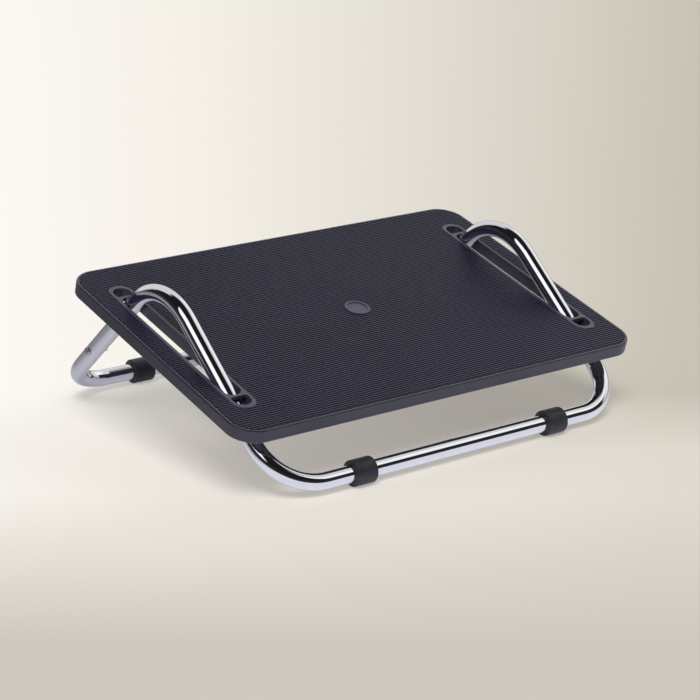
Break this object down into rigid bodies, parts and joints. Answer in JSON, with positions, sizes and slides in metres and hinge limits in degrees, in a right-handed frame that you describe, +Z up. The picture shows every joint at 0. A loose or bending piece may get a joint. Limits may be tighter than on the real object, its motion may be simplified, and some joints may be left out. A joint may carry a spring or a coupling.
{
  "type": "tilting footrest",
  "caption": "Tilting footrest: a ribbed platform board rides by its slots on chrome tube arches, which stand on U-shaped floor bars with rubber sleeves.",
  "frame": {"origin": "on the floor, at the centre of the footprint's bounding box, midway between the floor bars", "axes": "+X across the footrest to the right, +Y from its front (low) edge to its rear (high) edge, +Z up"},
  "size_m": [0.46, 0.384, 0.1541],
  "materials": {
    "chrome_tube": "bright polished chrome plate on steel tube",
    "fastener_steel": "bright plated steel, domed",
    "board_plastic": "fine-grained matt moulding, dark grey",
    "mat_rubber": "matt ribbed rubber, dark blue-grey",
    "trim_plastic": "satin moulding, dark grey that looks mid grey where it catches the light",
    "sleeve_rubber": "matt rubber, near black"
  },
  "bodies": {
    "base": {"side_arch_left": "chrome_tube", "side_arch_right": "chrome_tube", "floor_bar_front": "chrome_tube", "floor_bar_rear": "chrome_tube", "sleeve_front_left": "sleeve_rubber", "sleeve_front_right": "sleeve_rubber", "sleeve_rear_left": "sleeve_rubber", "sleeve_rear_right": "sleeve_rubber", "joint_screws": "fastener_steel", "joint_nuts": "fastener_steel"},
    "platform": {"platform_board": "board_plastic", "ribbed_mat": "mat_rubber", "slot_bezel_left": "trim_plastic", "slot_bezel_right": "trim_plastic", "centre_plug": "trim_plastic"}
  },
  "joints": [
    {"name": "platform_tilt", "type": "hinge", "parent": "base", "child": "platform", "pos_m": [0, -0.0231, -0.0016], "axis": [1, 0, 0], "range_deg": [-15, 0]}
  ]
}
